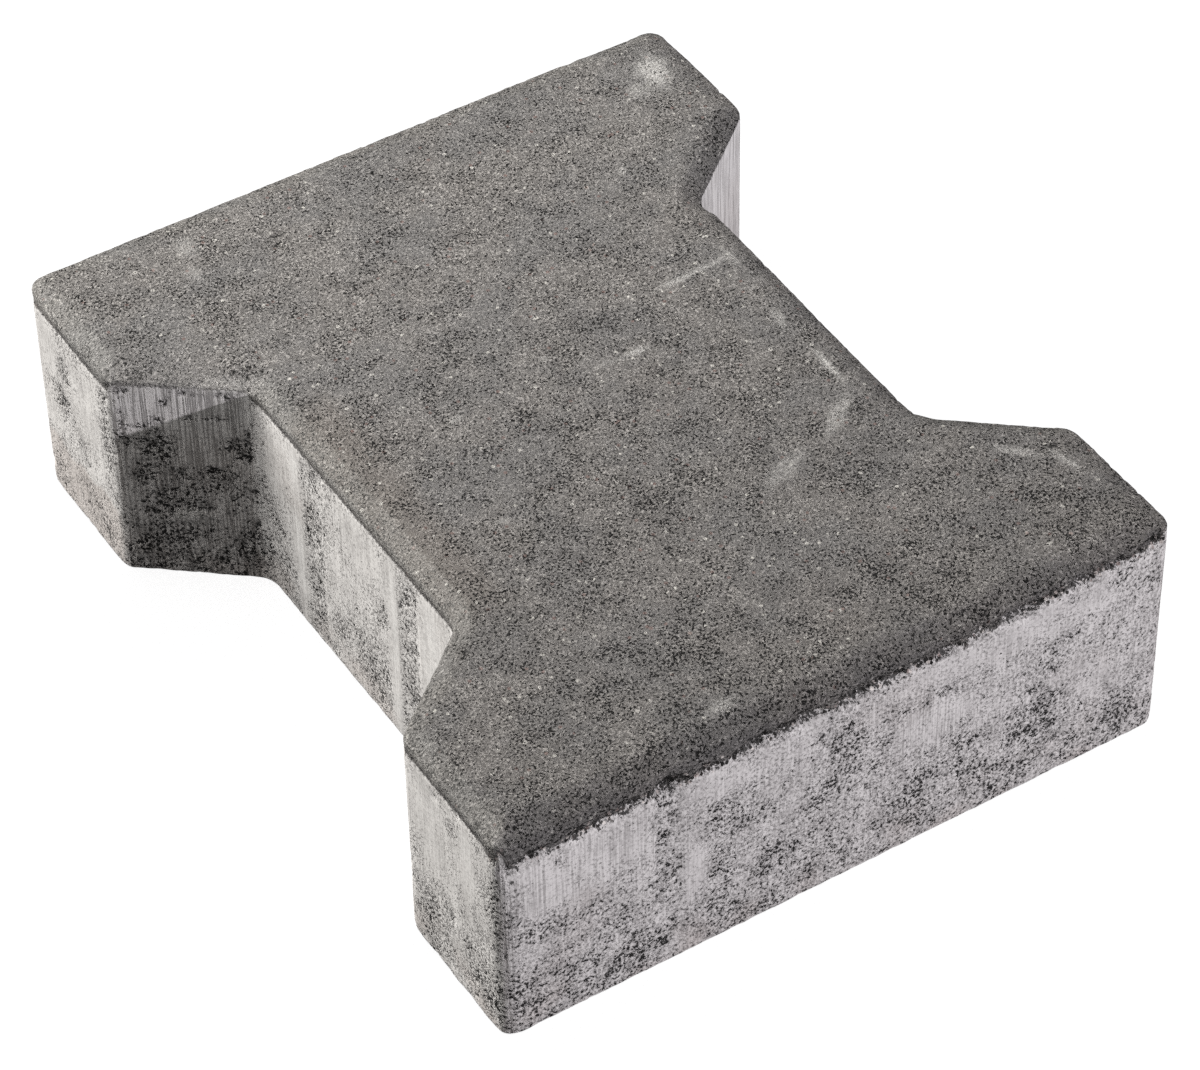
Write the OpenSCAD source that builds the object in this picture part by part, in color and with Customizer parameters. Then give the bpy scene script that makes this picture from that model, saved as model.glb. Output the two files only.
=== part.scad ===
// Double-T interlocking concrete paving stone, pressed in one piece.
// The plan is a rectangle with a flared notch in each long side: two heads joined by a waist.
// The head of a neighbouring stone interlocks in each notch. A bevel runs all round the walking surface.
// Frame: X across the heads, Y along the stone, Z up. The origin is the centre of the underside.

/* [Stone] */
// Length over both heads, along Y
stone_length = 200; // [170:1:260]
// Width of the heads, along X
head_width = 165; // [145:1:220]
// Width of the waist between the two notches, along X
waist_width = 114; // [80:1:125]
// Thickness from the underside to the walking surface
stone_thickness = 60; // [40:1:120]

/* [Heads] */
// Length of the straight side of each head, along Y
head_side = 37; // [28:0.5:44]
// Length along Y over which each flank slants in from the head to the waist
flank_run = 21; // [12:0.5:28]

/* [Edges] */
// Width of the bevel round the walking surface
bevel_width = 5; // [2:0.5:8]
// Drop of the bevel from the walking surface to the side faces
bevel_drop = 3; // [1:0.5:8]
// Radius of the upright outer corners
corner_radius = 4; // [1:0.5:8]
// Radius of the upright inner corners of the notches
notch_radius = 7; // [4:0.5:12]

/* [Hidden] */
$fn = 96;

concrete = [0.45, 0.44, 0.42];

half_length = stone_length / 2;
half_head = head_width / 2;
half_waist = waist_width / 2;
// Where the head's straight side ends, and where the flank reaches the waist, along Y from the middle
shoulder_y = half_length - head_side;
waist_y = shoulder_y - flank_run;

// Height of the bevel's lower edge, where the upright faces end
arris_z = stone_thickness - bevel_drop;
bevel_slope = bevel_drop / bevel_width;
// How far each bevel plane runs on past the stone's faces
overrun = 2;
// Each upright rounding is this much fuller than its radius. It then crosses the flat faces beside
// it cleanly, with no sliver where they touch.
rounding_margin = 0.0002;

// The plan's corners before rounding, counter-clockwise from the head corner at -X, -Y
CORNERS = [
    [-half_head, -half_length],
    [half_head, -half_length],
    [half_head, -shoulder_y],
    [half_waist, -waist_y],
    [half_waist, waist_y],
    [half_head, shoulder_y],
    [half_head, half_length],
    [-half_head, half_length],
    [-half_head, shoulder_y],
    [-half_waist, waist_y],
    [-half_waist, -waist_y],
    [-half_head, -shoulder_y]
];
COUNT = len(CORNERS);
OUTER_CORNERS = [0, 1, 2, 5, 6, 7, 8, 11];
NOTCH_CORNERS = [3, 4, 9, 10];
// Edges, each named by its first corner: two ends and four head sides, then the three of each notch
HEAD_EDGES = [0, 1, 5, 6, 7, 11];
NOTCH_EDGES = [[2, 3, 4], [8, 9, 10]];

function unit(v) = v / norm(v);
function radius(i) = len(search(i, NOTCH_CORNERS)) > 0 ? notch_radius : corner_radius;
function to_previous(i) = unit(CORNERS[(i + COUNT - 1) % COUNT] - CORNERS[i]);
function to_next(i) = unit(CORNERS[(i + 1) % COUNT] - CORNERS[i]);
function half_angle(i) = acos(to_previous(i) * to_next(i)) / 2;
// Distance from a corner to the two points where its rounding starts
function setback(i) = radius(i) / tan(half_angle(i));
function arc_start(i) = CORNERS[i] + setback(i) * to_previous(i);
function arc_end(i) = CORNERS[i] + setback(i) * to_next(i);
function arc_centre(i) =
    CORNERS[i] + radius(i) / sin(half_angle(i)) * unit(to_previous(i) + to_next(i));

// The plan with all its corners rounded
module plan() {
    difference() {
        union() {
            polygon([for (i = [0:COUNT - 1]) each [arc_start(i), arc_end(i)]]);
            for (i = OUTER_CORNERS) translate(arc_centre(i)) circle(r = corner_radius + rounding_margin);
        }
        for (i = NOTCH_CORNERS) translate(arc_centre(i)) circle(r = notch_radius + rounding_margin);
    }
}

// The space above the sloping bevel plane of edge i. It runs past the edge's ends, and out from
// the stone, by reach.
module bevel_space(i, reach) {
    run = CORNERS[(i + 1) % COUNT] - CORNERS[i];
    translate([CORNERS[i][0], CORNERS[i][1], arris_z])
        rotate([90, 0, 90 + atan2(run[1], run[0])])
            translate([0, 0, -reach])
                linear_extrude(norm(run) + 2 * reach)
                    polygon([
                        [-reach, -overrun * bevel_slope],
                        [-overrun, -overrun * bevel_slope],
                        [bevel_width + overrun, bevel_drop + overrun * bevel_slope],
                        [-reach, bevel_drop + overrun * bevel_slope]
                    ]);
}

// The bevels of a notch are one cut, because each stops where it meets the next in a valley
module notch_bevel(edges) {
    intersection() {
        bevel_space(edges[0], stone_length);
        bevel_space(edges[1], stone_length);
        bevel_space(edges[2], stone_length);
    }
}

module paving_stone() {
    color(concrete)
        difference() {
            linear_extrude(stone_thickness) plan();
            // The bevels of a head run on past its corners, so that neighbours meet in a mitre
            for (i = HEAD_EDGES) bevel_space(i, bevel_width + overrun);
            for (edges = NOTCH_EDGES) notch_bevel(edges);
        }
}

paving_stone();
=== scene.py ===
import itertools
import math

import bpy
import numpy as np
from mathutils import Matrix
from mathutils import Vector
from mathutils.geometry import delaunay_2d_cdt
from mathutils.kdtree import KDTree


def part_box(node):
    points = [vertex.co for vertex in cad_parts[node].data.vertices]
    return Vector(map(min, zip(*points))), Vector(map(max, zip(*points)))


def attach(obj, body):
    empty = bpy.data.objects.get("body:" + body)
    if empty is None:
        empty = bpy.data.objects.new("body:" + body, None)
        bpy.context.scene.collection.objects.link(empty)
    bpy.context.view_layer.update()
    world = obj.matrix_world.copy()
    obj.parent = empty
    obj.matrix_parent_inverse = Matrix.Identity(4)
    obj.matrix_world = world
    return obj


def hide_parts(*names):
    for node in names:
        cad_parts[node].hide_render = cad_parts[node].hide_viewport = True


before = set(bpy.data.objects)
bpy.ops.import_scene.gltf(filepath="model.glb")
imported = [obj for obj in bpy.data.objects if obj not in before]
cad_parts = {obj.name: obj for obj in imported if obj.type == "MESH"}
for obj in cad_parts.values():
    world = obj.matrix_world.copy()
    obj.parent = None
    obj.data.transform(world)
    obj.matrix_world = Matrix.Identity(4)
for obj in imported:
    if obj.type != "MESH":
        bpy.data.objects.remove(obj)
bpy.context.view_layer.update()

# A pressed concrete paving stone, lying flat. Lengths here are in millimetres, and become metres
# as the meshes are made. The stone is one closed mesh in place of the CAD node, with its surface
# relief in the geometry and its finest grain in the material.

MM = 0.001

low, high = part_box("paving_stone")
HALF_X = high.x / MM
HALF_Y = high.y / MM
THICKNESS = (high.z - low.z) / MM

# The plan. It is the same in all four quarters, but for the inner corner at the right front,
# which is worn rounder. WIDE_NOTCH is its number in plan_corners.
HALF_WAIST = 57.0
HEAD_SIDE = 37.0
FLANK_RUN = 21.0
SHOULDER_Y = HALF_Y - HEAD_SIDE
WAIST_Y = SHOULDER_Y - FLANK_RUN
FLANK_DEPTH = HALF_X - HALF_WAIST
FLANK_LENGTH = math.hypot(FLANK_DEPTH, FLANK_RUN)
OUTER_RADIUS = 4.0
NOTCH_RADIUS = 7.0
WIDE_NOTCH_RADIUS = 12.0
WIDE_NOTCH = 2
TIGHTEST_RADIUS = 0.8

# The bevel round the walking surface
BEVEL_WIDTH = 5.0
BEVEL_DROP = 3.0
ARRIS_Z = THICKNESS - BEVEL_DROP

# Distance between neighbouring points of the mesh. The band below the arris, which crumbles, has
# closer rows, and the points inside the top and the underside keep clear of their edge.
SIDE_STEP = 1.02
ARRIS_BAND = 7.0
ARRIS_BAND_STEP = 0.6
BEVEL_STEP = 0.75
TOP_STEP = 0.93
TOP_CLEARANCE = 0.6
UNDERSIDE_STEP = 2.6
UNDERSIDE_CLEARANCE = 1.4
SHAKE = 0.22

# A side face counts from the first share of its normal on, and in full from the second
FACING = (0.79, 0.93)

# A pebble and a small stone that show in the back left flank, with their radii
PEBBLE = (-70.2, 52.9, 18.0)
PEBBLE_RADII = (4.4, 4.4, 2.2)
SMALL_STONE = (-79.0, 60.2, 6.5)
SMALL_STONE_RADII = (2.6, 2.6, 2.4)

# How far the soft edge of a pit reaches, for a size of 1
PIT_REACH = 1.6

# The stone's materials, in the order of its slots. From so much above the height where the face
# layer ends, all is face layer, and from so much below it, all is cement skin.
FACE_ZONE, LIP_ZONE, SIDE_ZONE = range(3)
FACE_ONLY_ABOVE = 4.4
SKIN_ONLY_BELOW = 3.2


# ---------------------------------------------------------------- noise

GRADIENTS = np.random.default_rng(11).normal(size=(256, 3))
GRADIENTS /= np.linalg.norm(GRADIENTS, axis=1)[:, None]
CUBE_CORNERS = [np.array(c) for c in itertools.product((0, 1), repeat=3)]


def scrambled(cells, seed):
    """A number from 0 to 255 for each cell of a lattice, always the same for the same seed."""
    mixed = cells[:, 0] * 73856093 ^ cells[:, 1] * 19349663 ^ cells[:, 2] * 83492791
    mixed = (mixed ^ seed * 15485863) & 0x7FFFFFFF
    mixed = ((mixed ^ mixed >> 13) * 1274126177) & 0x7FFFFFFF
    return (mixed ^ mixed >> 15) & 255


def noise(points, size, seed):
    """Smooth noise of about -1 to 1 whose bumps have the given size, one number or one per axis."""
    grid = points / size
    cell = np.floor(grid).astype(np.int64)
    part = grid - cell
    fade = part**3 * (part * (part * 6 - 15) + 10)
    total = np.zeros(len(points))
    for corner in CUBE_CORNERS:
        gradient = GRADIENTS[scrambled(cell + corner, seed)]
        weight = np.prod(np.where(corner, fade, 1 - fade), axis=1)
        total += weight * ((part - corner) * gradient).sum(1)
    return total * 1.7


def rough_noise(points, size, seed, octaves=3):
    """Noise with finer noise on it, each octave half the size and half the height."""
    total = sum(
        noise(points, np.asarray(size) / 2**k, seed + 31 * k) / 2**k
        for k in range(octaves)
    )
    return total / (2 - 2.0 ** (1 - octaves))


def step_up(value, start, end):
    """0 below start, 1 above end and a smooth rise between them. End may lie below start."""
    t = np.clip((value - start) / (end - start), 0, 1)
    return t * t * (3 - 2 * t)


def hump(value, middle, reach, soft):
    """1 within reach of middle, falling smoothly to 0 over soft."""
    return step_up(np.abs(value - middle), reach + soft, reach)


# ---------------------------------------------------------------- base shape


def plan_corners():
    """The twelve corners of the plan before rounding, anticlockwise seen from above."""
    lower = [(HALF_X, -HALF_Y), (HALF_X, -SHOULDER_Y), (HALF_WAIST, -WAIST_Y)]
    right = lower + [(x, -y) for x, y in reversed(lower)]
    return np.array(right + [(-x, -y) for x, y in right])


def ring(inset):
    """The rounded outline, moved inwards by inset, with the same number of points at any inset."""
    corners = plan_corners()
    ahead = np.roll(corners, -1, axis=0) - corners
    lengths = np.linalg.norm(ahead, axis=1)
    ahead /= lengths[:, None]
    inward = np.stack([-ahead[:, 1], ahead[:, 0]], axis=1)
    arcs = []
    for i, corner in enumerate(corners):
        before, after = inward[i - 1], inward[i]
        turn = math.atan2(np.cross(ahead[i - 1], ahead[i]), ahead[i - 1] @ ahead[i])
        hollow = WIDE_NOTCH_RADIUS if i == WIDE_NOTCH else NOTCH_RADIUS
        radius = OUTER_RADIUS if turn > 0 else hollow
        steps = max(5, round(radius * abs(turn) / SIDE_STEP) + 1)
        radius = max(radius - inset, TIGHTEST_RADIUS) if turn > 0 else radius + inset
        mitre = corner + inset * (before + after) / (1 + before @ after)
        start = mitre - ahead[i - 1] * radius * math.tan(abs(turn) / 2)
        side = math.copysign(1, turn)
        centre = start + side * before * radius
        angles = np.linspace(0, turn, steps + 1)
        spoke = start - centre
        cos, sin = np.cos(angles), np.sin(angles)
        across = spoke[0] * cos - spoke[1] * sin
        along = spoke[0] * sin + spoke[1] * cos
        arcs.append(centre + np.stack([across, along], axis=1))
    points = []
    for i, arc in enumerate(arcs):
        following = arcs[(i + 1) % len(arcs)][0]
        steps = round(lengths[i] / SIDE_STEP)
        share = np.linspace(0, 1, steps + 1)[1:-1, None]
        points.append(arc)
        points.append(arc[-1] + (following - arc[-1]) * share)
    return np.concatenate(points)


def side_profile():
    """(inset, height) of each ring, from the edge of the underside up and over the bevel."""
    foot = [(0.5, 0.0), (0.15, 0.1), (0.03, 0.4)]
    fine_from = ARRIS_Z - ARRIS_BAND
    upright = [(0.0, z) for z in np.arange(1.0, fine_from, SIDE_STEP)]
    fine_to = ARRIS_Z - ARRIS_BAND_STEP
    upright += [(0.0, z) for z in np.arange(fine_from, fine_to, ARRIS_BAND_STEP)]
    slope = BEVEL_DROP / BEVEL_WIDTH
    arris = [(0.04, ARRIS_Z - 0.4), (0.2, ARRIS_Z - 0.03), (0.5, ARRIS_Z + 0.25)]
    across = np.arange(1.0, BEVEL_WIDTH - 1.0, BEVEL_STEP)
    bevel = [(x, ARRIS_Z + slope * x) for x in across]
    crown = [(4.3, -0.5), (5.0, -0.25), (5.8, -0.09), (6.7, -0.02)]
    return foot + upright + arris + bevel + [(x, THICKNESS + z) for x, z in crown]


def inside(points, outline):
    """Which points lie inside the closed outline."""
    x, y = points[:, 0], points[:, 1]
    found = np.zeros(len(points), bool)
    for (ax, ay), (bx, by) in zip(outline, np.roll(outline, -1, axis=0)):
        if ay != by:
            crossing = (ay > y) != (by > y)
            found ^= crossing & (x < (bx - ax) * (y - ay) / (by - ay) + ax)
    return found


def filled(outline, inner_outline, spacing, rng):
    """Points added inside an outline on a shaken honeycomb, and the triangles that fill it."""
    across = np.arange(-HALF_X, HALF_X, spacing)
    rows = np.arange(-HALF_Y, HALF_Y, spacing * math.sqrt(0.75))
    x, y = np.meshgrid(across, rows)
    x = x + (np.arange(len(rows)) % 2)[:, None] * spacing / 2
    grid = np.stack([x.ravel(), y.ravel()], axis=1)
    grid += rng.uniform(-SHAKE, SHAKE, grid.shape) * spacing
    grid = grid[inside(grid, inner_outline)]
    everything = np.concatenate([outline, grid])
    n = len(outline)
    edges = [(i, (i + 1) % n) for i in range(n)]
    _, _, faces, origins, _, _ = delaunay_2d_cdt(
        [Vector(p) for p in everything], edges, [], 1, 1e-6
    )
    own = [o[0] for o in origins]
    return grid, [tuple(own[v] for v in f) for f in faces]


def stone_shape():
    """Points and faces of the smooth stone: rings up the sides and over the bevel, filled ends."""
    rng = np.random.default_rng(5)
    profile = side_profile()
    rings = [ring(inset) for inset, _ in profile]
    n = len(rings[0])
    layers = [np.column_stack([r, np.full(n, z)]) for r, (_, z) in zip(rings, profile)]
    faces = []
    for k in range(len(rings) - 1):
        for i in range(n):
            j = (i + 1) % n
            faces.append((k * n + i, k * n + j, (k + 1) * n + j, (k + 1) * n + i))
    total = n * len(rings)
    top_inset, bottom_inset = profile[-1][0], profile[0][0]
    top, top_faces = filled(rings[-1], ring(top_inset + TOP_CLEARANCE), TOP_STEP, rng)
    first_top = n * (len(rings) - 1)
    for f in top_faces:
        faces.append(tuple(first_top + v if v < n else total + v - n for v in f))
    layers.append(np.column_stack([top, np.full(len(top), THICKNESS)]))
    total += len(top)
    inner = ring(bottom_inset + UNDERSIDE_CLEARANCE)
    under, under_faces = filled(rings[0], inner, UNDERSIDE_STEP, rng)
    for f in under_faces:
        faces.append(tuple(v if v < n else total + v - n for v in reversed(f)))
    layers.append(np.column_stack([under, np.zeros(len(under))]))
    return np.concatenate(layers), faces


def mesh_of(name, points, faces):
    """A smooth-shaded mesh from points in millimetres."""
    mesh = bpy.data.meshes.new(name)
    mesh.from_pydata((points * MM).tolist(), [], faces)
    mesh.update()
    mesh.shade_smooth()
    return mesh


def normals_of(mesh):
    """The unit normal at each point of a mesh."""
    normals = np.zeros(len(mesh.vertices) * 3, np.float32)
    mesh.vertex_normals.foreach_get("vector", normals)
    return normals.reshape(-1, 3).astype(float)


# ---------------------------------------------------------------- surface relief


class Surface:
    """The stone's points with the masks that its relief and its material share."""

    def __init__(self, points, normals):
        self.p = points
        self.n = normals
        self.x, self.y, self.z = points.T
        self.under = step_up(-normals[:, 2], 0.6, 0.9)
        self.top = step_up(normals[:, 2], 0.3, 0.7)
        self.upright = 1 - np.maximum(self.under, self.top)
        self.front = step_up(-normals[:, 1], *FACING) * self.upright
        self.back = step_up(normals[:, 1], *FACING) * self.upright
        self.left = step_up(-normals[:, 0], *FACING) * self.upright
        self.right = step_up(normals[:, 0], *FACING) * self.upright
        self.in_waist = hump(self.y, 0, WAIST_Y - 2, 3) * self.upright
        across = np.abs(normals[:, 0])
        self.flank = hump(across, FLANK_RUN / FLANK_LENGTH, 0.12, 0.12) * self.upright
        # How far a point lies along the back left flank, from its outer end
        inwards = (self.x + HALF_X) * FLANK_DEPTH + (SHOULDER_Y - self.y) * FLANK_RUN
        self.notch_side = inwards / FLANK_LENGTH
        self.relief = np.zeros(len(points))
        self.pit_shade = np.zeros(len(points))


def lip_height(s):
    """Height at which the pale skin of the side faces gives way to the grain of the face layer."""
    front = -6.4 + 1.6 * step_up(s.x, -75, 0) + 2.3 * step_up(s.x, 10, 80)
    flank = -1.4 + 1.0 * step_up(s.notch_side, 0, 30)
    height = -1.9 + (front + 1.9) * s.front - 1.8 * s.back + (flank + 1.9) * s.flank
    height = height - 1.4 * s.left
    ragged = 0.55 * rough_noise(s.p, (5, 5, 40), 21) + 0.35 * noise(s.p, (2.2, 2.2, 4), 22)
    near = hump(s.x, -HALF_X, 3, 4) * hump(s.y, -HALF_Y, 3, 4)
    return ARRIS_Z + height + ragged * (0.4 + 1.1 * s.front + 0.6 * s.back) - 2.0 * near


def blotches(across, up, ragged, places):
    """Torn ellipses, each (middle across, middle up, half width, half height, strength)."""
    total = np.zeros(len(across))
    for a, b, width, height, strength in places:
        away = np.hypot((across - a) / width, (up - b) / height)
        total = np.maximum(total, strength * step_up(away + ragged, 1.45, 0.55))
    return total


def pitted_places(s, ragged):
    """Where the visible side faces show clusters of open pores."""
    front = blotches(s.x, s.z, ragged, [
        (-73, 15, 8, 5, 0.9), (-72, 30, 5, 4, 0.45), (-30, 35, 6, 6, 1.0), (-15, 16, 6, 4, 0.75),
        (0, 37, 5, 9, 1.0), (14, 44, 6, 4, 0.75), (26, 40, 3, 3, 0.6), (33, 18, 5, 6, 0.7),
        (47, 20, 8, 6, 0.95), (55, 36, 6, 5, 0.7), (76, 45, 4, 3, 0.75), (71, 10, 4, 7, 0.7),
        (-50, 8, 8, 4, 0.6), (15, 12, 9, 5, 0.5), (-31, 9, 6, 4, 0.5),
    ])
    waist = blotches(s.y, s.z, ragged, [
        (19.3, 40, 3.2, 10, 0.9), (19, 14, 3.2, 12, 1.0), (-20.5, 43, 4.3, 7, 1.0),
        (-20, 19, 4, 6, 1.0), (37, 12, 5, 10, 0.8), (0, 11, 11, 7, 0.7), (-10, 31, 3, 2, 0.7),
        (12, 40, 3, 7, 0.4), (28, 8, 3, 7, 0.5),
    ])
    waist = np.maximum(waist, 0.75 * grooves(s))
    flank = blotches(s.notch_side, s.z, ragged, [
        (8, 38, 8, 4.5, 1.3), (6, 31, 6, 4, 1.3), (23, 29, 5, 4, 1.4), (24, 49, 4, 1.5, 1.2),
        (29, 39, 3, 2.5, 1.2), (13, 21, 8, 4, 1.2), (18, 9, 17, 8, 0.6), (14, 30, 4, 4, 0.9),
        (26, 54.8, 3, 1, 2.6), (2.5, 54, 2.5, 1, 2.6), (12.6, 51.7, 1.2, 1.2, 2.4),
        (18, 54.5, 3, 0.8, 2.0), (10.5, 46.4, 1.8, 1, 2.4), (18, 47.3, 1.5, 1, 2.4),
        (23, 48, 3.5, 1, 2.2), (2.7, 47.8, 1.2, 1.2, 2.2), (6, 44, 2, 1, 2.2),
    ])
    heads = blotches(s.y, s.z, ragged, [
        (-82, 47, 2.6, 3, 1.0), (-74, 12, 7, 10, 0.8), (-92, 14, 7, 11, 0.9), (-97, 38, 3, 12, 0.6),
        (85, 42, 3, 4, 1.3), (87, 32, 5, 4, 1.2), (66, 36, 3, 16, 0.9), (74, 10, 8, 6, 0.8),
        (77, 24, 4, 3, 0.7), (-70, 34, 4, 4, 0.6),
    ])
    on_left = s.left * (1 - s.flank)
    total = front * s.front + waist * on_left * s.in_waist + heads * on_left * (1 - s.in_waist)
    return total + flank * s.flank * (s.x < 0) * (s.y > 0)


def grooves(s):
    """Two upright grooves in the left waist, each with one sharp edge."""
    wobble = 0.5 * noise(s.p, (9, 9, 9), 43)
    first = step_up(s.y + wobble, 15.4, 16.4) * step_up(s.y + wobble, 25, 21)
    second = step_up(s.y + wobble, -25.6, -24.6) * step_up(s.y + wobble, -15.5, -19)
    return s.left * s.in_waist * (first + second) * step_up(s.z, 53, 48)


def smooth_places(s, ragged):
    """Where the visible side faces keep their drawn, closed skin."""
    front = blotches(s.x, s.z, ragged, [
        (-63, 42, 17, 11, 0.85), (-31, 46, 6, 4.5, 0.8), (22, 33, 9, 6, 0.6), (-37, 22, 3, 8, 0.8),
        (40, 47, 26, 4, 0.7), (-12, 46, 8, 5, 0.6), (64, 26, 6, 6, 0.5),
    ])
    waist = blotches(s.y, s.z, 0.3 * ragged, [
        (26.5, 26, 2.4, 34, 1.0), (-14.5, 26, 2.2, 34, 1.0), (-31, 34, 5.5, 25, 1.0),
        (0, 46, 9, 7, 0.7), (34, 44, 5, 12, 0.8), (8, 27, 5, 8, 0.5),
    ])
    heads = blotches(s.y, s.z, ragged, [
        (-71, 42, 7, 14, 1.0), (-87, 42, 2.4, 13, 1.0), (94, 46, 6, 9, 0.8), (73, 36, 5, 17, 0.6),
        (92, 24, 6, 6, 0.5), (-79, 30, 5, 6, 0.4),
    ])
    on_left = s.left * (1 - s.flank)
    total = front * s.front + waist * on_left * s.in_waist + heads * on_left * (1 - s.in_waist)
    flank = blotches(s.notch_side, s.z, ragged, [(14, 51, 18, 7, 1.0), (18, 42, 5, 8, 0.7)])
    far_flank = s.flank * (s.x > 0) * (s.y > 0)
    return np.maximum(total + flank * s.flank * (s.x < 0) * (s.y > 0), far_flank)


def open_texture(s):
    """How open the concrete of the sides is, from -1 for closed skin to 1 for crowded pores."""
    patches = rough_noise(s.p, (11, 11, 13), 41) + 0.35 * noise(s.p, (4, 4, 5), 42)
    lower = step_up(s.z, 40, 4)
    mask = 0.8 * patches + 0.3 * lower + 0.25 - 0.3 * s.left + 0.05 * s.front
    mask = mask + 0.35 * s.left * step_up(s.z, 46, 54)
    ragged = 0.8 * rough_noise(s.p, 7, 44, 2)
    mask = mask - 1.0 * smooth_places(s, ragged)
    mask = mask + (0.75 - 0.17 * s.front) * pitted_places(s, ragged)
    # The rough upright strip beside the smooth panel of the front face
    wobble = 1.2 * noise(s.p, (9, 9, 9), 43)
    strip = s.front * hump(s.x + wobble, -43, 2.6, 1.6) * step_up(s.z, -14, 30)
    near_corner = hump(s.x, -HALF_X, 1.2, 2.2) * hump(s.y, -HALF_Y, 1.2, 2.2)
    mask = np.maximum(mask, np.maximum(strip, 0.9 * near_corner) * 1.6 - 0.9)
    return np.clip(np.clip(mask, -1, 1) - pale_bands(s), -2, 1)


def pale_bands(s):
    """Upright bands and patches of closed skin that are paler than the rest, from 0 to 1."""
    on_left = s.left * (1 - s.flank)
    waist = blotches(s.y, s.z, 0.0, [
        (26.3, 26, 1.8, 34, 0.7), (-15, 26, 1.6, 34, 0.6), (-32, 36, 6, 26, 0.6),
    ])
    torn = 0.5 * rough_noise(s.p, (4, 4, 9), 45, 2)
    heads = blotches(s.y, s.z, torn, [(-87.5, 46, 2.2, 10, 0.45), (92, 46, 4.5, 5, 0.35)])
    total = on_left * (waist * s.in_waist + heads * (1 - s.in_waist))
    # The back right flank is paler in full: its closed skin, and painted light where the key lamp
    # falls on it
    return total + 1.0 * s.flank * (s.x > 0) * (s.y > 0)


def drawn_places(s):
    """How strongly the faces show the upright marks of the mould, from 0 to 1."""
    panel = s.front * blotches(s.x, s.z, 0.0, [(-63, 42, 18, 12, 0.2), (22, 33, 10, 9, 0.25)])
    return 0.25 + 1.75 * s.flank + panel


def worn_arris(s):
    """How crumbled the edge under the bevel is, from 0 to 1."""
    broken = 0.75 + 0.5 * noise(s.p, (7, 7, 30), 51)
    corner = hump(np.abs(s.x), HALF_X, 2, 5) * hump(np.abs(s.y), HALF_Y, 2, 5)
    along = 0.15 + 0.85 * s.front + 0.5 * s.back
    return np.clip(along * broken + 0.2 * corner, 0, 1) * s.upright


def scatter_pits(s, weight, count, radii, depth, rng):
    """Presses round pits into the relief at random points, more of them where weight is high."""
    tree = KDTree(len(s.p))
    for i, point in enumerate(s.p):
        tree.insert(point, i)
    tree.balance()
    chosen = rng.choice(len(s.p), size=count, p=weight / weight.sum())
    sizes = radii[0] + (radii[1] - radii[0]) * rng.random(count) ** 2.5
    stretch = rng.uniform(0.7, 1.0, count)
    for index, size, sink in zip(chosen, sizes, stretch):
        reach = size * PIT_REACH
        near = tree.find_range(Vector(s.p[index]), reach)
        which = [i for _, i, _ in near]
        share = np.array([d for _, _, d in near]) / reach
        shape = (1 - share**2) ** 2 * sink
        s.relief[which] -= shape * size * depth
        # The pit's shape is kept as the mask for the painted shade inside it
        s.pit_shade[which] = np.maximum(s.pit_shade[which], shape)


def side_relief(s, opened, worn, lip):
    """Relief of the upright faces, in millimetres outwards."""
    wave = 0.10 * rough_noise(s.p, (34, 34, 45), 61, 2)
    drawn = 0.035 * noise(s.p, (1.5, 1.5, 22), 62) + 0.05 * noise(s.p, (4.5, 4.5, 70), 63)
    loose = np.clip(opened, 0, 1)
    grit = loose * (0.12 * rough_noise(s.p, 1.9, 64, 2) - 0.12)
    # The rough strip of the front face lies a little deeper
    strip = s.front * hump(s.x, -42.6, 2.9, 0.9)
    pebble = boss(s, PEBBLE, PEBBLE_RADII)
    stone = boss(s, SMALL_STONE, SMALL_STONE_RADII)
    crumb_zone = hump(s.z, lip + 0.8, 0.9, 1.3) * worn
    crumbs = crumb_zone * (0.22 + 0.4 * np.clip(rough_noise(s.p, 2.2, 65), -0.4, 1))
    lip_line = 0.22 * hump(s.z, lip + 0.5, 0.3, 0.7) * (1 - s.flank)
    foot = hump(s.z, 0, 0.4, 1.8) * np.clip(0.08 + 0.25 * noise(s.p, (3, 3, 4), 66), 0, 1)
    return s.upright * (
        wave + drawn + grit - 0.3 * strip - 0.35 * grooves(s) + 0.5 * pebble + 0.4 * stone
        - crumbs - lip_line - foot - 0.05
    )


def swell(s):
    """How far the right side of the waist stands out from the plan, in millimetres."""
    to_right = step_up(s.n[:, 0], 0.7, 0.9) + step_up(s.n[:, 0], 0.3, 0.45) * s.top
    along = 0.4 + 0.7 * step_up(s.y, -25, 30)
    in_waist = hump(s.y, 0, WAIST_Y - 6, 5)
    return np.clip(to_right, 0, 1) * along * in_waist * (1 - s.under)


def lift(s):
    """How much higher the arris lies than a bevel of full depth would put it, at the back and
    on the right side of the heads, in millimetres."""
    back = 0.8 * step_up(s.y, HALF_Y - 9, HALF_Y - 5) * (1 - 0.6 * step_up(s.x, 50, 76))
    right = 0.9 * step_up(s.x, HALF_X - 9, HALF_X - 5) * (1 - 0.5 * step_up(s.y, 84, 96))
    right = right * step_up(np.abs(s.y), SHOULDER_Y - 3, SHOULDER_Y + 5)
    rise = step_up(s.z, ARRIS_Z - 6, ARRIS_Z) * np.clip((THICKNESS - s.z) / BEVEL_DROP, 0, 1)
    return np.maximum(back, right) * rise


def boss(s, centre, radii):
    """A rounded boss of 1 at the centre, 0 outside an ellipsoid."""
    away = (((s.p - np.array(centre)) / np.array(radii)) ** 2).sum(1)
    return np.sqrt(np.clip(1 - away, 0, 1))


def top_relief(s):
    """Relief of the walking surface and the bevel, in millimetres outwards."""
    wave = 0.10 * rough_noise(s.p, 38, 71, 2)
    grain = 0.10 * noise(s.p, 2.1, 72) + 0.09 * noise(s.p, 1.25, 73)
    return s.top * (wave + grain - 0.1)


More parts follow.
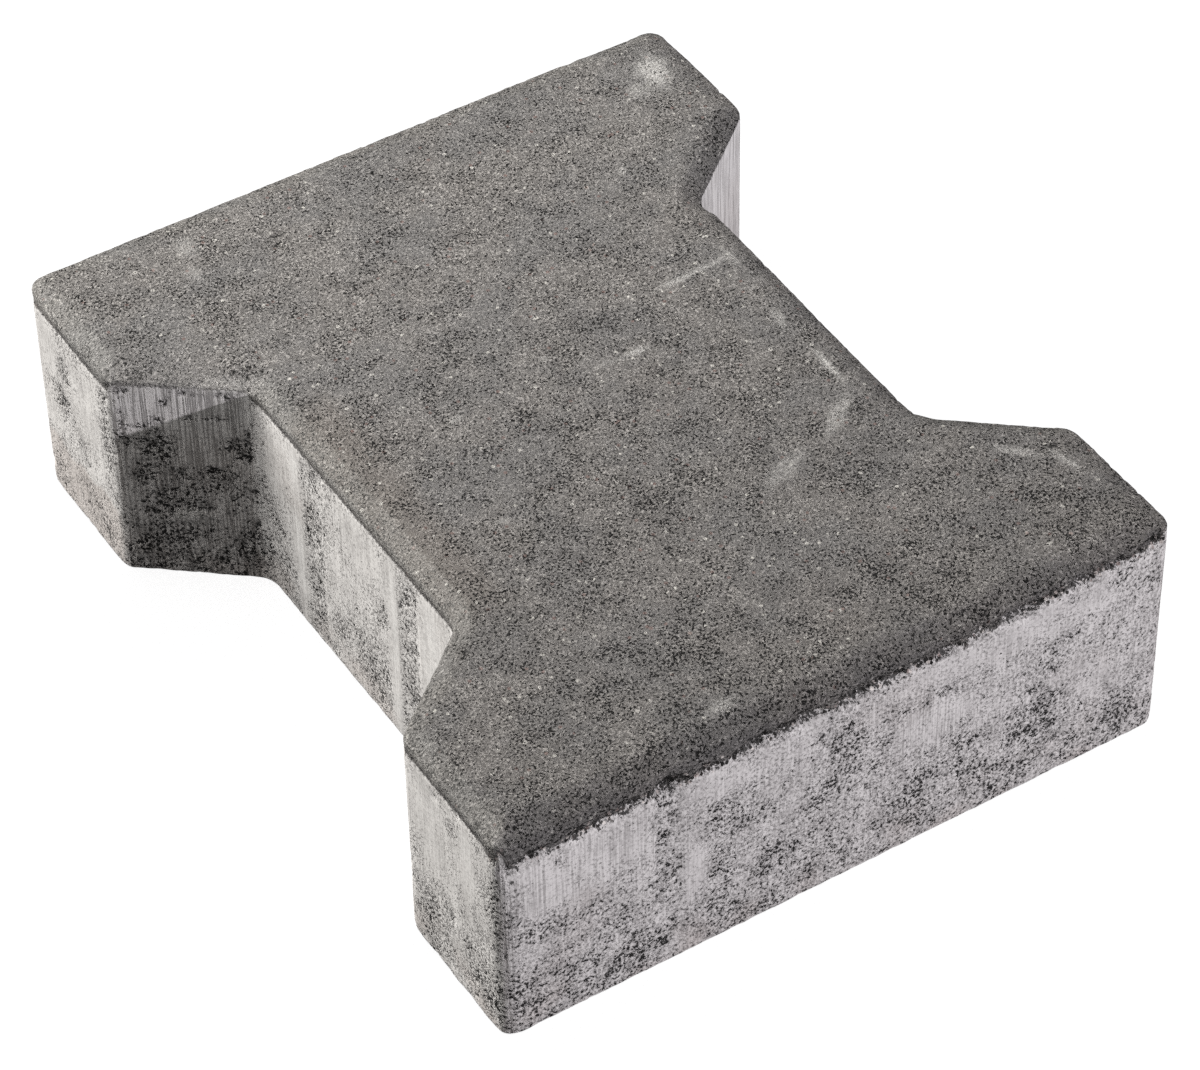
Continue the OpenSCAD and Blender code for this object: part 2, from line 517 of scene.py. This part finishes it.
def underside_relief(s):
    """Relief of the underside, which only goes upwards, so that the stone keeps its height."""
    return -s.under * (0.16 + 0.16 * rough_noise(s.p, 9, 81, 3))


def deposits_and_lit_bevels(s):
    """Pale scuffs and bloom, each (x, y, half length, half width, angle, strength) on the top, and
    painted light on the bevels that face left.
    """
    places = [
        (72, 84, 7, 4, 75, 1.0), (66, 80, 4, 3, 20, 0.5), (-48, 89, 4.5, 3, 100, 0.42),
        (-51, 80, 3, 2, 95, 0.33), (40, 20, 10, 0.9, 2, 0.9), (12, 5.3, 8, 0.8, -3, 0.3),
        (17, 5.3, 3.2, 1.0, -3, 1.0), (48.5, -3, 4, 1.2, 80, 0.65), (49, -21, 6, 1.1, 88, 1.0),
        (42, -35, 8, 2.2, 35, 0.55), (23, -43, 8, 2.2, 20, 0.38), (67, -65, 6, 1.4, 130, 0.6),
        (74, -73, 5, 1.0, 100, 0.6), (-26, -93, 4, 1.8, 10, 0.5), (-1.2, 14.2, 1.2, 1.0, 0, 0.7),
        (-47.5, 8.7, 1.2, 1.0, 0, 0.6), (-27, 8, 2.0, 1.1, 10, 0.5), (47, 58, 2.0, 1.4, 30, 0.6),
        (-61, 46.5, 7, 2.2, -38, 0.45), (51, 20, 1.2, 4, 0, 0.5), (-35, 17, 3, 0.7, 60, 0.3),
        (-34.5, -24, 2, 0.7, 170, 0.5),
    ]
    total = np.zeros(len(s.p))
    ragged = 0.35 * rough_noise(s.p, 5, 91)
    for x, y, length, width, angle, strength in places:
        c, k = math.cos(math.radians(angle)), math.sin(math.radians(angle))
        dx, dy = s.x - x, s.y - y
        away = np.hypot((dx * c + dy * k) / length, (dy * c - dx * k) / width)
        total = np.maximum(total, strength * step_up(away + ragged, 1.25, 0.35))
    # The bevels that face left are painted paler in patches: painted light
    toned = step_up(THICKNESS - s.z, 0.3, 1.2) * step_up(-s.n[:, 0], 0.2, 0.5)
    toned = toned * (0.25 + 0.2 * rough_noise(s.p, 7, 92))
    total = np.maximum(total, toned) * (1 - s.under) * step_up(s.z, 54, 56)
    return total + 0.45 * step_up(boss(s, PEBBLE, PEBBLE_RADII), 0.2, 0.5)


def brown_places(s):
    """Where iron in the sand tints the concrete brown, from 0 to 1, and a warm painted shade low on
    the flanks.
    """
    inner_left = hump(s.x, -52, 3, 7) * hump(s.y, -8, 30, 16) * s.top
    patches = step_up(rough_noise(s.p, 26, 95), 0.1, 0.8)
    foot = 0.8 * step_up(s.z, 14, 2) * s.upright * step_up(noise(s.p, (11, 11, 9), 96), -0.3, 0.5)
    stain_top = 17 + 2.5 * noise(s.p, (7, 7, 60), 98)
    stain = s.left * step_up(s.y, 60, 66) * step_up(s.z, stain_top + 0.6, stain_top - 0.6)
    # A warm tint low on the flanks: painted shade, for the warm colour of the shadow on the back
    # left flank
    flank = 0.4 * s.flank * step_up(s.z, 50, 36)
    return np.clip(0.75 * inner_left + 0.4 * patches + foot + stain + flank, 0, 1) * (1 - s.under)


def shade(s):
    """How much darker the face layer is than at the back: more so towards the front, and on the
    bevels that face front or right, which is painted shade."""
    forward = 0.34 * step_up(-s.y, -75, 60) + 0.16 * step_up(-s.y, 60, 96)
    bevel = step_up(THICKNESS - s.z, 0.3, 1.2) * s.top
    facing = np.maximum(step_up(-s.n[:, 1], 0.2, 0.5), 0.6 * step_up(s.n[:, 0], 0.2, 0.5))
    patches = 0.12 * rough_noise(s.p, 30, 97)
    return np.clip(forward + 0.1 * bevel * facing + patches, 0, 1)


def set_attribute(mesh, name, values):
    """Stores one number for each point of a mesh."""
    data = mesh.attributes.new(name, "FLOAT", "POINT")
    data.data.foreach_set("value", values.astype(np.float32))


def add_pits(s, opened, worn, lip):
    """Scatters pits over the top, the open places of the sides and the crumbled edge."""
    rng = np.random.default_rng(29)
    clusters = step_up(rough_noise(s.p, 12, 31), -0.1, 0.6)
    scatter_pits(s, s.top * (0.15 + clusters), 900, (0.5, 0.9), 0.5, rng)
    loose = np.clip(opened, 0, 1) * step_up(s.z, 0.5, 2.5)
    scatter_pits(s, s.upright * (0.01 + loose * (0.3 + clusters)), 1300, (0.55, 1.1), 0.5, rng)
    crumbling = np.clip(worn - 0.3, 0, 1) ** 2 * hump(s.z, lip + 0.6, 0.8, 1.2)
    scatter_pits(s, crumbling + 1e-9, 520, (0.7, 1.6), 0.6, rng)


def displaced(s):
    """The points with their relief, none of them below the floor or wider at the foot."""
    relief = np.where(s.z < 0.05, np.minimum(s.relief, 0), s.relief)
    moved = s.p + s.n * relief[:, None]
    moved[:, 0] += swell(s)
    moved[:, 2] += lift(s)
    moved[:, 2] = np.maximum(moved[:, 2], 0)
    return moved


def build_stone():
    """The stone as one mesh piece, with its relief and the masks for its materials."""
    points, faces = stone_shape()
    mesh = mesh_of("paving_stone_surface", points, faces)
    s = Surface(points, normals_of(mesh))
    lip = lip_height(s)
    below_lip = step_up(lip - s.z, -0.4, 0.6) * s.upright
    opened = open_texture(s) * below_lip
    worn = worn_arris(s)
    s.relief = side_relief(s, opened, worn, lip) + top_relief(s) + underside_relief(s)
    add_pits(s, opened, worn, lip)
    mesh.vertices.foreach_set("co", (displaced(s) * MM).astype(np.float32).ravel())
    mesh.update()
    masks = {
        "lip": lip,
        "open": opened,
        "worn": worn,
        "pit_shade": s.pit_shade,
        # Bloom and scuffs, and painted light on the bevels that face left
        "bloom": deposits_and_lit_bevels(s),
        "brown": brown_places(s),
        "shade": shade(s),
        # The faces that get the painted shadow line under the edge of the face layer
        "line": np.clip(s.left + s.right - s.flank, 0, 1),
        "drawn": drawn_places(s),
    }
    for name, values in masks.items():
        set_attribute(mesh, name, values)
    piece = bpy.data.objects.new("paving_stone_body", mesh)
    bpy.context.scene.collection.objects.link(piece)
    return piece


# ---------------------------------------------------------------- colours


def rgb(red, green, blue):
    return (red, green, blue, 1.0)


# The face layer, which is the concrete of the walking surface
FACE_DARK = rgb(0.114, 0.108, 0.103)
FACE_LIGHT = rgb(0.304, 0.290, 0.275)
FACE_BLUISH = rgb(0.126, 0.129, 0.134)
FACE_BROWN = rgb(0.185, 0.158, 0.135)
# Painted shade for the bevels that face front or right, and the darkening towards the front
FACE_SHADED = rgb(0.052, 0.047, 0.045)
WHITE_GRAIN = rgb(0.5, 0.485, 0.45)
SAND_GRAIN = rgb(0.19, 0.12, 0.105)

# The cement skin of the sides
SKIN_DARK = rgb(0.30, 0.289, 0.282)
SKIN_LIGHT = rgb(0.53, 0.516, 0.504)
# Pale bands of skin, and the back right flank, whose paleness is partly painted light
PALE_SKIN_DARK = rgb(0.46, 0.448, 0.44)
PALE_SKIN_LIGHT = rgb(0.59, 0.58, 0.567)
SKIN_SCORED = rgb(0.15, 0.145, 0.14)
# Brown stains, and the warm painted shade low on the flanks
SKIN_BROWN = rgb(0.30, 0.24, 0.21)
SKIN_OPENED = rgb(0.17, 0.16, 0.158)

# The crumbled edge between the two
# A painted shadow line under the edge of the face layer
LIP_SHADOW_LINE = rgb(0.06, 0.055, 0.056)
CRUMB_BROWN = rgb(0.2, 0.15, 0.14)
CRUMB_PALE = rgb(0.72, 0.68, 0.64)
# Painted shade inside the holes of the crumbled edge
CRUMB_HOLE_SHADE = rgb(0.006, 0.005, 0.0045)

# All of the stone
# Painted shade inside the pores and pits, which are holes
PORE_SHADE = rgb(0.004, 0.0038, 0.0036)
PIT_SHADE = rgb(0.02, 0.019, 0.018)
# Pale bloom and scuffs, and painted light on the bevels that face left
BLOOM_AND_PAINTED_LIGHT = rgb(0.47, 0.46, 0.44)

# The studio
PAPER_DARK = rgb(0.84, 0.84, 0.84)
PAPER_LIGHT = rgb(0.88, 0.88, 0.88)
WHITE = rgb(1.0, 1.0, 1.0)


# ---------------------------------------------------------------- material nodes

# Depth of the finest relief, as a height of 1 stands for it
BUMP_DEPTH = 0.4 * MM
# The grain and the holes come from one kind of noise, so the holes take theirs from elsewhere
HOLE_SHIFT = (31.0, 7.0, 3.0)
# The mould's lines are fine across and long upright
LINE_STRETCH = (2.1, 2.1, 0.06)


class Graph:
    """Adds linked shader nodes to one material. Its where is the place on the piece, in mm."""

    def __init__(self, name):
        self.material = bpy.data.materials.new(name)
        self.material.use_nodes = True
        self.tree = self.material.node_tree
        self.shader = self.tree.nodes["Principled BSDF"]
        place = {0: self.node("TexCoord").outputs["Object"], "Scale": 1 / MM}
        self.where = self.node("VectorMath", place, operation="SCALE").outputs[0]

    def put(self, socket, value):
        """Links an output to a socket, or sets the socket's own value."""
        if isinstance(value, bpy.types.NodeSocket):
            self.tree.links.new(value, socket)
        else:
            socket.default_value = value

    def node(self, kind, inputs=(), **settings):
        """A new node with its settings and its inputs, by name or number."""
        made = self.tree.nodes.new("ShaderNode" + kind)
        for key, value in settings.items():
            setattr(made, key, value)
        for key, value in dict(inputs).items():
            self.put(made.inputs[key], value)
        return made

    def math(self, operation, a, b=0.0):
        """The result of one step of arithmetic or comparison."""
        return self.node("Math", {0: a, 1: b}, operation=operation).outputs[0]

    def plus(self, a, b):
        return self.math("ADD", a, b)

    def minus(self, a, b):
        return self.math("SUBTRACT", a, b)

    def times(self, a, b):
        return self.math("MULTIPLY", a, b)

    def smooth(self, value, start, end, low=0.0, high=1.0):
        """Maps start..end to low..high with soft ends."""
        inputs = {"Value": value, "From Min": start, "From Max": end, "To Min": low, "To Max": high}
        made = self.node("MapRange", inputs, interpolation_type="SMOOTHSTEP")
        return made.outputs["Result"]

    def mix(self, factor, a, b):
        """Mixes two colours."""
        made = self.node("Mix", data_type="RGBA")
        self.put(made.inputs[0], factor)
        self.put(made.inputs[6], a)
        self.put(made.inputs[7], b)
        return made.outputs[2]

    def attribute(self, name):
        """A number that the mesh holds for each of its points."""
        return self.node("Attribute", attribute_name=name).outputs["Fac"]

    def noise(self, where, scale, detail, rough):
        """Noise around 0.5, with scale bumps to the millimetre."""
        inputs = {"Vector": where, "Scale": scale, "Detail": detail, "Roughness": rough}
        return self.node("TexNoise", inputs).outputs["Fac"]

    def grains(self, scale):
        """Round cells: the distance from a cell's middle, and three random numbers for each."""
        cells = self.node("TexVoronoi", {"Vector": self.where, "Scale": scale})
        kinds = self.node("SeparateColor", {0: cells.outputs["Color"]})
        return cells.outputs["Distance"], kinds.outputs

    def stretched(self, amount):
        """The place with each axis scaled on its own."""
        inputs = {0: self.where, 1: amount}
        return self.node("VectorMath", inputs, operation="MULTIPLY").outputs[0]

    def shifted(self, amount):
        """The place, moved."""
        inputs = {0: self.where, 1: amount}
        return self.node("VectorMath", inputs, operation="ADD").outputs[0]


# ---------------------------------------------------------------- materials


def with_odd_grains(g, colour):
    """Adds a few white grains and a few of reddish sand to a colour."""
    distance, kind = g.grains(0.8)
    near = g.smooth(distance, 0.4, 0.3)
    white = g.times(g.math("GREATER_THAN", kind[1], 0.968), near)
    colour = g.mix(g.times(white, 0.9), colour, WHITE_GRAIN)
    sand = g.times(g.math("GREATER_THAN", kind[2], 0.985), near)
    return g.mix(g.times(sand, 0.6), colour, SAND_GRAIN)


def face_holes(g, shaded):
    """Holes between the grains of the face layer: 1 in a hole, 0 elsewhere, more where shaded."""
    spread = g.noise(g.where, 0.16, 2.0, 0.5)
    holes = g.noise(g.shifted(HOLE_SHIFT), 1.8, 2.0, 0.7)
    depth = g.plus(holes, g.times(spread, 0.26))
    depth = g.plus(depth, g.times(shaded, 0.04))
    return g.smooth(depth, 0.714, 0.727)


def face_layer(g):
    """Colour and height of the dark, fine-grained concrete of the walking surface."""
    pick = g.grains(2.0)[1]
    rough = g.noise(g.where, 1.9, 3.0, 0.75)
    level = g.smooth(g.plus(g.times(pick[0], 0.2), rough), 0.42, 0.78)
    colour = g.mix(level, FACE_DARK, FACE_LIGHT)
    patch = g.noise(g.where, 0.05, 3.0, 0.6)
    colour = g.mix(g.smooth(patch, 0.4, 0.62, 0.0, 0.3), colour, FACE_BLUISH)
    colour = g.mix(g.times(g.attribute("brown"), 0.4), colour, FACE_BROWN)
    colour = with_odd_grains(g, colour)
    # Darker towards the front, and painted shade on the bevels that face front or right
    shaded = g.attribute("shade")
    colour = g.mix(g.times(shaded, 0.55), colour, FACE_SHADED)
    hole = face_holes(g, shaded)
    # The holes are painted nearly black: painted shade inside them
    colour = g.mix(g.times(hole, 0.97), colour, PORE_SHADE)
    return colour, g.minus(g.times(level, 0.75), hole)


def skin_colour(g, opened, lines, drawn, rough):
    """The closed cement skin, with its upright lines, its pale bands and its brown stains."""
    mottle = g.noise(g.where, 0.12, 3.0, 0.6)
    tone = g.plus(drawn, g.times(mottle, 0.25))
    tone = g.plus(tone, g.times(rough, 0.45))
    level = g.smooth(tone, 0.22, 0.46)
    skin = g.mix(level, SKIN_DARK, SKIN_LIGHT)
    pale = g.mix(level, PALE_SKIN_DARK, PALE_SKIN_LIGHT)
    skin = g.mix(g.smooth(opened, -1.0, -2.0), skin, pale)
    scored = g.times(g.smooth(lines, 0.48, 0.38), g.attribute("drawn"))
    skin = g.mix(g.times(scored, 0.18), skin, SKIN_SCORED)
    return g.mix(g.times(g.attribute("brown"), 0.3), skin, SKIN_BROWN)


def cement_skin(g):
    """Colour and height of the pale side faces: smooth drawn skin and open, porous patches."""
    opened = g.attribute("open")
    lines = g.noise(g.stretched(LINE_STRETCH), 1.0, 2.0, 0.6)
    drawn = g.times(g.minus(lines, 0.5), g.attribute("drawn"))
    rough = g.noise(g.where, 1.25, 3.0, 0.75)
    skin = skin_colour(g, opened, lines, drawn, rough)
    spread = g.noise(g.where, 0.33, 2.0, 0.5)
    deep = g.plus(g.minus(1.0, rough), g.times(opened, 0.13))
    deep = g.plus(deep, g.times(g.minus(spread, 0.19), 0.26))
    # Greyer paste where the surface lies deeper, more so in open places
    toned = g.smooth(deep, 0.56, 0.78)
    colour = g.mix(g.times(toned, 0.5), skin, SKIN_OPENED)
    pore = g.smooth(deep, 0.743, 0.753)
    # The pores are painted nearly black: painted shade inside them
    colour = g.mix(g.times(pore, 0.97), colour, PORE_SHADE)
    height = g.plus(g.times(drawn, 0.4), g.times(toned, -0.35))
    return colour, g.minus(height, g.times(pore, 0.9))


def with_crumbs(g, colour, height, above, ragged):
    """Adds the loose grains and the holes of the crumbled edge to a colour and a height."""
    distance, kind = g.grains(1.0)
    zone = g.times(g.smooth(above, -1.3, -0.6), g.smooth(above, 3.4, 1.8))
    zone = g.times(zone, g.smooth(g.attribute("worn"), 0.15, 0.4))
    middle = g.plus(distance, g.times(ragged, 0.12))
    grain = g.times(g.math("GREATER_THAN", kind[1], 0.6), zone)
    grain = g.times(grain, g.smooth(middle, 0.5, 0.42))
    tint = g.mix(kind[2], CRUMB_BROWN, CRUMB_PALE)
    colour = g.mix(g.times(grain, 0.85), colour, tint)
    hole = g.times(g.math("LESS_THAN", kind[0], 0.36), zone)
    hole = g.times(hole, g.smooth(middle, 0.48, 0.41))
    # The holes among the crumbs are painted nearly black: painted shade inside them
    colour = g.mix(g.times(hole, 0.95), colour, CRUMB_HOLE_SHADE)
    return colour, g.minus(height, hole)


def finished(g, colour, height, roughness):
    """Adds what all zones share, the painted shade in the pits, the bloom with painted light on the
    bevels that face left, and links the shader.
    """
    crisp = g.minus(g.noise(g.where, 1.6, 2.0, 0.7), 0.5)
    # Painted shade in and near the pits
    depth = g.plus(g.attribute("pit_shade"), g.times(crisp, 2.0))
    colour = g.mix(g.smooth(depth, 0.6, 0.75, 0.0, 0.9), colour, PIT_SHADE)
    # Bloom and scuffs, and painted light on the bevels that face left
    bloom = g.times(g.attribute("bloom"), g.smooth(crisp, -0.17, 0.05))
    colour = g.mix(g.times(bloom, 0.95), colour, BLOOM_AND_PAINTED_LIGHT)
    bump = g.node("Bump", {"Height": height, "Distance": BUMP_DEPTH, "Strength": 1.0})
    g.put(g.shader.inputs["Base Color"], colour)
    g.put(g.shader.inputs["Normal"], bump.outputs["Normal"])
    g.put(g.shader.inputs["Roughness"], roughness)
    g.put(g.shader.inputs["Specular IOR Level"], 0.15)
    return g.material


def face_material():
    """The walking surface, its bevel and the band below it."""
    g = Graph("concrete_face_layer")
    colour, height = face_layer(g)
    return finished(g, colour, height, 0.9)


def side_material():
    """The sides below the face layer, and the underside."""
    g = Graph("concrete_side")
    colour, height = cement_skin(g)
    return finished(g, colour, height, 0.8)


def lip_material():
    """Where the face layer ends on the sides: its crumbled edge and the skin that starts below."""
    g = Graph("concrete_lip")
    top_colour, top_height = face_layer(g)
    side_colour, side_height = cement_skin(g)
    z = g.node("SeparateXYZ", {0: g.where}).outputs["Z"]
    ragged = g.times(g.minus(g.noise(g.where, 1.3, 3.0, 0.7), 0.5), 2.0)
    above = g.plus(g.minus(z, g.attribute("lip")), ragged)
    is_top = g.smooth(above, -0.15, 0.15)
    colour = g.mix(is_top, side_colour, top_colour)
    height = g.mix(is_top, side_height, top_height)
    # A painted shadow line just under the edge of the face layer, on the left and right faces
    line = g.smooth(g.math("ABSOLUTE", g.minus(above, 0.4)), 1.0, 0.3)
    line = g.times(line, g.attribute("line"))
    colour = g.mix(g.times(line, 0.4), colour, LIP_SHADOW_LINE)
    colour, height = with_crumbs(g, colour, height, above, ragged)
    return finished(g, colour, height, 0.9)


def paint(stone):
    """Gives each face the material of its zone: face layer, lip or side."""
    for material in (face_material(), lip_material(), side_material()):
        stone.data.materials.append(material)
    mesh = stone.data
    lip = np.zeros(len(mesh.vertices), np.float32)
    mesh.attributes["lip"].data.foreach_get("value", lip)
    heights = np.array([v.co.z for v in mesh.vertices]) / MM - lip
    zones = []
    for polygon in mesh.polygons:
        reach = heights[list(polygon.vertices)]
        if reach.min() > FACE_ONLY_ABOVE:
            zones.append(FACE_ZONE)
        elif reach.max() < -SKIN_ONLY_BELOW:
            zones.append(SIDE_ZONE)
        else:
            zones.append(LIP_ZONE)
    mesh.polygons.foreach_set("material_index", zones)
    mesh.update()


# ---------------------------------------------------------------- studio

# All in metres and degrees. The camera stands where the photograph was taken from, with a roll
# about its line of sight.
CAMERA_PLACE = Vector((-0.3830, -0.6323, 0.7394))
CAMERA_TARGET = Vector((-0.0006, -0.0068, 0.0237))
CAMERA_ROLL = 1.178
CAMERA_SENSOR_MM = 36.0
CAMERA_LENS_MM = 140.97
FLOOR_REACH = 12.0

# Strength of the surroundings above and below the horizon, and how far the change reaches
SKY_ABOVE = 0.3
SKY_BELOW = 0.12
HORIZON_BLEND = 0.15


def floor_material():
    """Matt white paper with a faint tooth, which glows evenly, as the lamps leave it out."""
    g = Graph("studio_floor")
    tooth = g.noise(g.where, 0.4, 2.0, 0.5)
    colour = g.mix(g.smooth(tooth, 0.3, 0.7), PAPER_DARK, PAPER_LIGHT)
    g.put(g.shader.inputs["Base Color"], colour)
    g.shader.inputs["Roughness"].default_value = 0.95
    g.shader.inputs["Specular IOR Level"].default_value = 0.1
    g.shader.inputs["Emission Color"].default_value = WHITE
    g.shader.inputs["Emission Strength"].default_value = 0.8
    return g.material


def add_floor():
    """A wide plain floor, which throws no light on the stone."""
    reach = FLOOR_REACH
    mesh = bpy.data.meshes.new("studio_floor")
    corners = [(-reach, -reach, 0), (reach, -reach, 0), (reach, reach, 0), (-reach, reach, 0)]
    mesh.from_pydata(corners, [], [(0, 1, 2, 3)])
    mesh.materials.append(floor_material())
    floor = bpy.data.objects.new("studio_floor", mesh)
    bpy.context.scene.collection.objects.link(floor)
    floor.visible_diffuse = False
    floor.visible_glossy = False
    return floor


def aimed(location, target, roll=0.0):
    """A placement at location that looks at target, turned about the line of sight."""
    forward = (Vector(target) - Vector(location)).normalized()
    right = forward.cross(Vector((0, 0, 1))).normalized()
    down = forward.cross(right)
    c, s = math.cos(math.radians(roll)), math.sin(math.radians(roll))
    across = c * right + s * down
    up = s * right - c * down
    placed = Matrix((across, up, -forward)).transposed().to_4x4()
    placed.translation = location
    return placed


def add_camera():
    """The camera at the photograph's angle and distance."""
    data = bpy.data.cameras.new("camera")
    data.sensor_width = CAMERA_SENSOR_MM
    data.lens = CAMERA_LENS_MM
    data.clip_start = 0.05
    data.clip_end = 60.0
    camera = bpy.data.objects.new("camera", data)
    camera.matrix_world = aimed(CAMERA_PLACE, CAMERA_TARGET, CAMERA_ROLL)
    bpy.context.scene.collection.objects.link(camera)
    bpy.context.scene.camera = camera


def add_lamp(name, azimuth, elevation, distance, size, power, colour):
    """A square area light aimed at the stone. Azimuth 0 stands in front, at -Y, and 90 at +X."""
    a, e = math.radians(azimuth), math.radians(elevation)
    way = Vector((math.sin(a) * math.cos(e), -math.cos(a) * math.cos(e), math.sin(e)))
    target = Vector((0, 0, THICKNESS / 2 * MM))
    data = bpy.data.lights.new(name, "AREA")
    data.size = size
    data.energy = power
    data.color = colour
    lamp = bpy.data.objects.new(name, data)
    lamp.matrix_world = aimed(target + way * distance, target)
    bpy.context.scene.collection.objects.link(lamp)
    return lamp


def add_world():
    """Dim, nearly white surroundings: a soft sky, and less light from below it."""
    world = bpy.data.worlds.new("studio")
    world.use_nodes = True
    tree = world.node_tree
    background = tree.nodes["Background"]
    where = tree.nodes.new("ShaderNodeTexCoord").outputs["Generated"]
    split = tree.nodes.new("ShaderNodeSeparateXYZ")
    tree.links.new(where, split.inputs[0])
    ramp = tree.nodes.new("ShaderNodeMapRange")
    tree.links.new(split.outputs["Z"], ramp.inputs["Value"])
    ramp.inputs["From Min"].default_value = -HORIZON_BLEND
    ramp.inputs["From Max"].default_value = HORIZON_BLEND
    ramp.inputs["To Min"].default_value = SKY_BELOW
    ramp.inputs["To Max"].default_value = SKY_ABOVE
    # The camera itself sees plain white
    seen = tree.nodes.new("ShaderNodeLightPath").outputs["Is Camera Ray"]
    strength = tree.nodes.new("ShaderNodeMath")
    strength.operation = "MAXIMUM"
    tree.links.new(ramp.outputs["Result"], strength.inputs[0])
    tree.links.new(seen, strength.inputs[1])
    tree.links.new(strength.outputs[0], background.inputs["Strength"])
    background.inputs["Color"].default_value = WHITE
    bpy.context.scene.world = world


def light_only(lamp, *pieces):
    """Keeps a lamp's light, and the shadow it would throw, off everything but these pieces."""
    lit = bpy.data.collections.new(lamp.name + "_lit")
    for piece in pieces:
        lit.objects.link(piece)
    lamp.light_linking.receiver_collection = lit


add_camera()
stone = build_stone()
paint(stone)
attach(stone, "root")
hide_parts("paving_stone")

add_floor()
add_world()
light_only(add_lamp("key", 22, 16.6, 1.8, 0.03, 31.0, (1.0, 0.968, 1.02)), stone)
light_only(add_lamp("soft_left", -140, 36, 1.3, 0.8, 43.5, (1.0, 0.985, 0.95)), stone)
bpy.context.scene.view_settings.view_transform = "Standard"
bpy.context.scene.cycles.use_denoising = False
